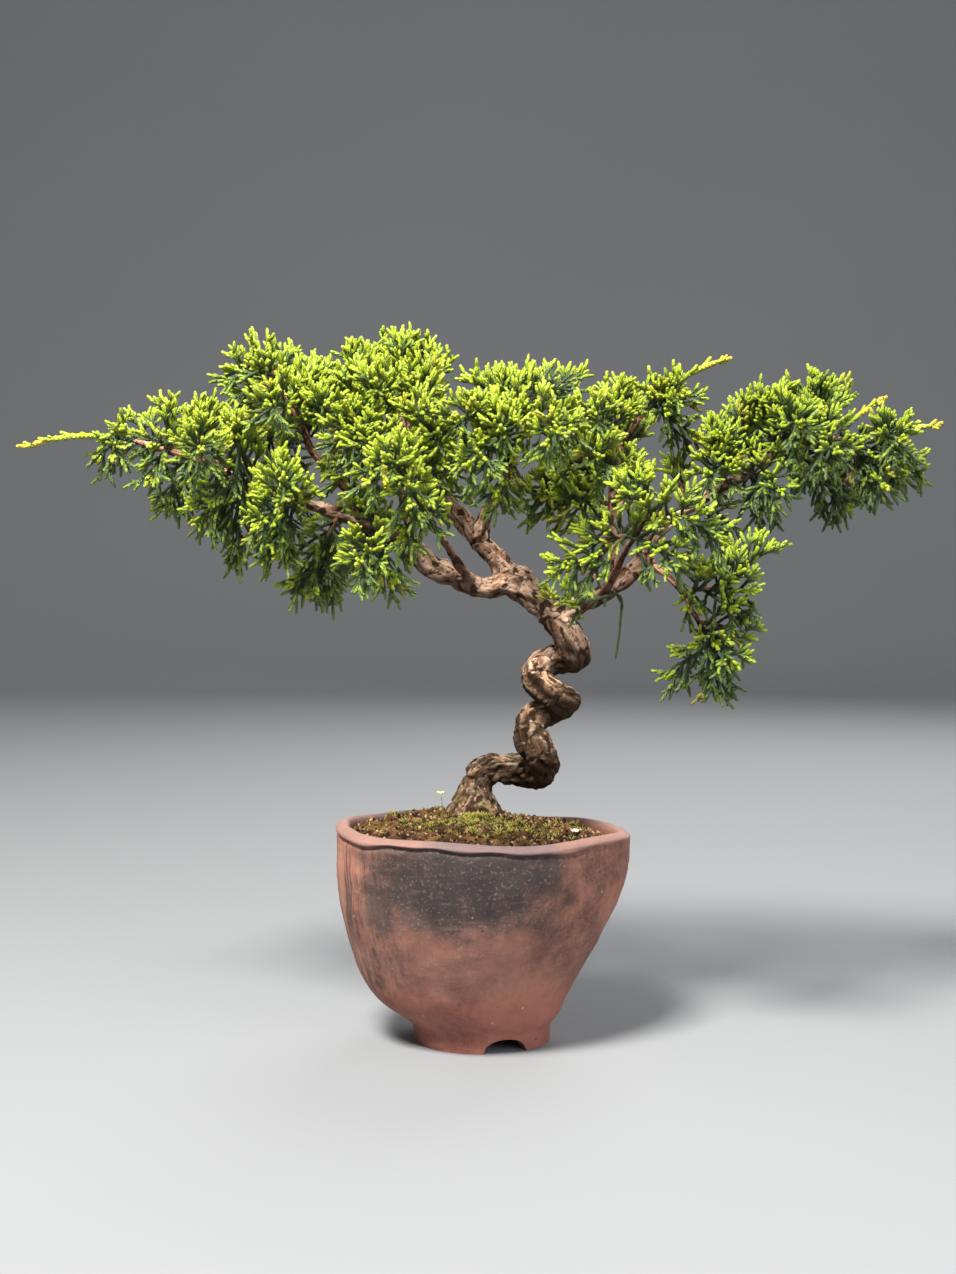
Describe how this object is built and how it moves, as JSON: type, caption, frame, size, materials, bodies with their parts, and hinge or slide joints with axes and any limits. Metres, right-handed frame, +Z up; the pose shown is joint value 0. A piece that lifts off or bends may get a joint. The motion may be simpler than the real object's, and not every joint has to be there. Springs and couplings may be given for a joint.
{
  "type": "juniper bonsai",
  "caption": "Small juniper bonsai with a corkscrew trunk and wide windswept crown of scale-leaf sprays, in a hand-formed unglazed clay cup pot.",
  "frame": {"origin": "on the surface that the pot stands on, in the middle of the foot ring, which is also the middle of the whole in X and Y", "axes": "+Z up; +X to the right along the spread of the crown, seen from the front; the front is -Y"},
  "size_m": [0.291, 0.1483, 0.2267],
  "materials": {
    "clay": "unglazed, reddish brown with a grey cloud from the firing, matt",
    "plastic_mesh": "black moulded mesh",
    "soil": "dark crumbly mix of mineral grains and bark, with moss",
    "pebble": "pale worn pebble",
    "bark": "grey-brown flaking bark",
    "foliage": "scale leaves, yellow-green at the tips and dark green inside"
  },
  "bodies": {
    "root": {"pot": "clay", "drain_mesh": "plastic_mesh", "soil": "soil", "pebble": "pebble", "trunk": "bark", "spray_left_1": "foliage", "spray_left_2": "foliage", "spray_left_3": "foliage", "spray_left_4": "foliage", "spray_left_5": "foliage", "spray_left_6": "foliage", "spray_left_7": "foliage", "spray_left_8": "foliage", "spray_left_9": "foliage", "spray_top_left_1": "foliage", "spray_top_left_2": "foliage", "spray_top_left_3": "foliage", "spray_top_left_4": "foliage", "spray_upright_1": "foliage", "spray_upright_2": "foliage", "spray_mid_1": "foliage", "spray_mid_2": "foliage", "spray_mid_3": "foliage", "spray_mid_4": "foliage", "spray_mid_5": "foliage", "spray_front_1": "foliage", "spray_front_2": "foliage", "spray_mid_fork_1": "foliage", "spray_mid_fork_2": "foliage", "spray_mid_fork_3": "foliage", "spray_mid_fork_4": "foliage", "spray_mid_fork_5": "foliage", "spray_mid_fork_6": "foliage", "spray_riser_1": "foliage", "spray_riser_2": "foliage", "spray_riser_3": "foliage", "spray_riser_4": "foliage", "spray_riser_5": "foliage", "spray_riser_6": "foliage", "spray_riser_7": "foliage", "spray_riser_8": "foliage", "spray_right_1": "foliage", "spray_right_2": "foliage", "spray_right_3": "foliage", "spray_right_4": "foliage", "spray_right_5": "foliage", "spray_right_6": "foliage", "spray_right_7": "foliage", "spray_right_8": "foliage", "spray_right_9": "foliage", "spray_front_right_1": "foliage", "spray_front_right_2": "foliage", "spray_front_right_3": "foliage", "spray_drop_1": "foliage", "spray_drop_2": "foliage", "spray_drop_3": "foliage", "spray_back_left_1": "foliage", "spray_back_left_2": "foliage", "spray_back_right_1": "foliage", "spray_back_right_2": "foliage"}
  },
  "joints": []
}
